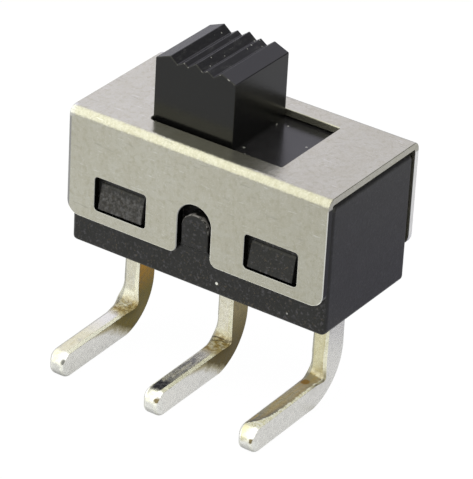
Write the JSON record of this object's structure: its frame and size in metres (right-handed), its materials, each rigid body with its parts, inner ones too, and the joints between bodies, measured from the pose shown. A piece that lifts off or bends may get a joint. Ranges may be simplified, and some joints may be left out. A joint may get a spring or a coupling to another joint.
{
  "type": "right-angle slide switch",
  "caption": "Right-angle slide switch: a ridged knob moves along a slot in a folded steel cover snapped over a moulded base, with bent solder legs below.",
  "frame": {"origin": "middle of the knob's slot, on the top face of the cover", "axes": "+X is the knob's travel and the row of legs, -Y is the side that lies on the board and that the legs point to, +Z points out of the knob"},
  "size_m": [0.0126, 0.0091, 0.0141],
  "materials": {
    "cover_steel": "satin plated sheet",
    "base_moulding": "fine matt moulding",
    "knob_moulding": "satin moulding, glossy slide plate",
    "contact_bronze": "bright spring bronze",
    "terminal_plating": "mottled bright plating",
    "detent_steel": "polished"
  },
  "bodies": {
    "body": {"frame_cover": "cover_steel", "base_housing": "base_moulding", "terminal_left": "terminal_plating", "terminal_centre": "terminal_plating", "terminal_right": "terminal_plating"},
    "slider": {"slider_knob": "knob_moulding", "contact_clip": "contact_bronze", "detent_spring": "detent_steel", "detent_ball_front": "detent_steel", "detent_ball_back": "detent_steel"}
  },
  "joints": [
    {"name": "slider_travel", "type": "slide", "parent": "body", "child": "slider", "axis": [1, 0, 0], "range_m": [0, 0.0024]}
  ]
}
